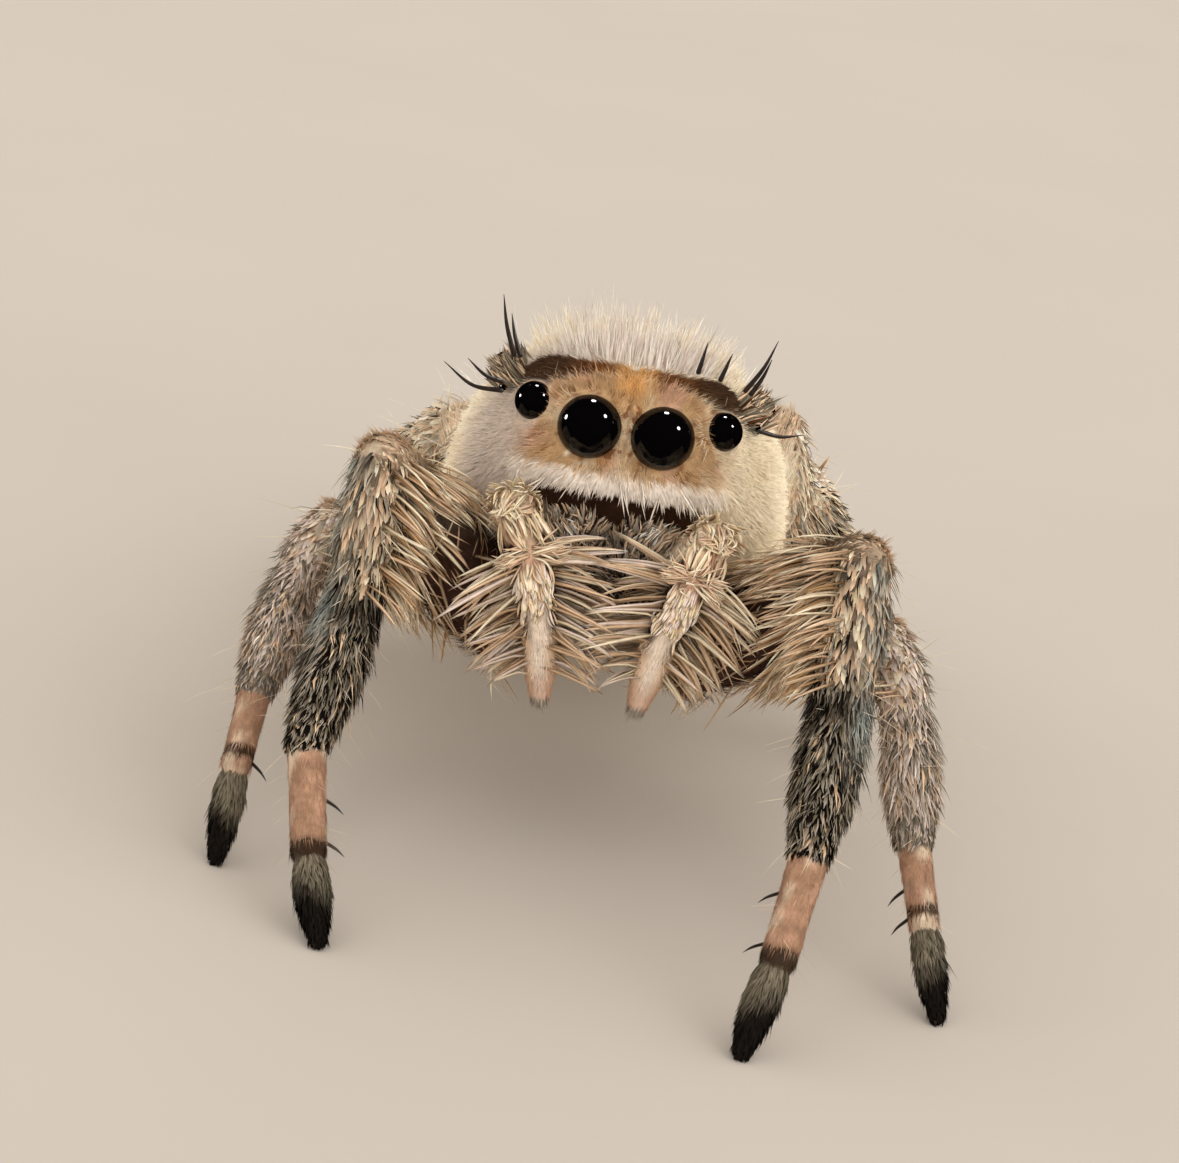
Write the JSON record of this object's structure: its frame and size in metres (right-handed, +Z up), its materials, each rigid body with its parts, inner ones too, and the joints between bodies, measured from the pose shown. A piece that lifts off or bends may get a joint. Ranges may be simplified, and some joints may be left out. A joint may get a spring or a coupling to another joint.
{
  "type": "jumping spider",
  "caption": "Life-size still model of a pale, furry jumping spider standing on all its legs, front body raised and fringed palps hanging before its jaws.",
  "frame": {"origin": "centre of the part's box at floor level", "axes": "+Z up, the spider faces -Y, its own left side is at +X"},
  "size_m": [0.0102, 0.0172, 0.0072],
  "materials": {
    "face_coat": "short dense scale hairs, orange tan round the eyes and cream below them",
    "body_coat": "soft cream hair lying backwards, with longer erect white hairs",
    "abdomen_coat": "soft cream-grey hair lying backwards, with paler spots and a pale front band",
    "skin": "bare brownish cuticle under the hair",
    "eye": "polished near-black lens",
    "jaw": "glossy dark brown cuticle",
    "fang": "glossy black-brown claw",
    "palp_coat": "pinkish cuticle with long pale fringe hairs and a cream stripe",
    "thigh_coat": "long beige fringe hairs over brown cuticle",
    "shin_coat": "grey and black hairs with pale tips",
    "stocking": "bare pinkish-orange cuticle with a few dark spines",
    "foot_coat": "dense black brush of fine hairs, grey at its base",
    "bristle": "dark smooth spines and long bristles"
  },
  "bodies": {
    "root": {"eye_front_middle_right": "eye", "eye_front_middle_left": "eye", "eye_front_side_right": "eye", "eye_front_side_left": "eye", "eye_small_right": "eye", "eye_small_left": "eye", "eye_rear_right": "eye", "eye_rear_left": "eye", "head": "face_coat", "thorax": "body_coat", "abdomen": "abdomen_coat", "waist": "skin", "spinneret_right": "skin", "spinneret_left": "skin", "jaw_right": "jaw", "fang_right": "fang", "jaw_left": "jaw", "fang_left": "fang", "palp_right_femur": "palp_coat", "palp_right_tibia": "palp_coat", "palp_right_tarsus": "palp_coat", "palp_left_femur": "palp_coat", "palp_left_tibia": "palp_coat", "palp_left_tarsus": "palp_coat", "leg_1_right_femur": "thigh_coat", "leg_1_right_tibia": "shin_coat", "leg_1_right_metatarsus": "stocking", "leg_1_right_tarsus": "foot_coat", "leg_1_left_femur": "thigh_coat", "leg_1_left_tibia": "shin_coat", "leg_1_left_metatarsus": "stocking", "leg_1_left_tarsus": "foot_coat", "leg_2_right_femur": "thigh_coat", "leg_2_right_tibia": "shin_coat", "leg_2_right_metatarsus": "stocking", "leg_2_right_tarsus": "foot_coat", "leg_2_left_femur": "thigh_coat", "leg_2_left_tibia": "shin_coat", "leg_2_left_metatarsus": "stocking", "leg_2_left_tarsus": "foot_coat", "leg_3_right_femur": "thigh_coat", "leg_3_right_tibia": "shin_coat", "leg_3_right_metatarsus": "stocking", "leg_3_right_tarsus": "foot_coat", "leg_3_left_femur": "thigh_coat", "leg_3_left_tibia": "shin_coat", "leg_3_left_metatarsus": "stocking", "leg_3_left_tarsus": "foot_coat", "leg_4_right_femur": "thigh_coat", "leg_4_right_tibia": "shin_coat", "leg_4_right_metatarsus": "stocking", "leg_4_right_tarsus": "foot_coat", "leg_4_left_femur": "thigh_coat", "leg_4_left_tibia": "shin_coat", "leg_4_left_metatarsus": "stocking", "leg_4_left_tarsus": "foot_coat"}
  },
  "joints": []
}
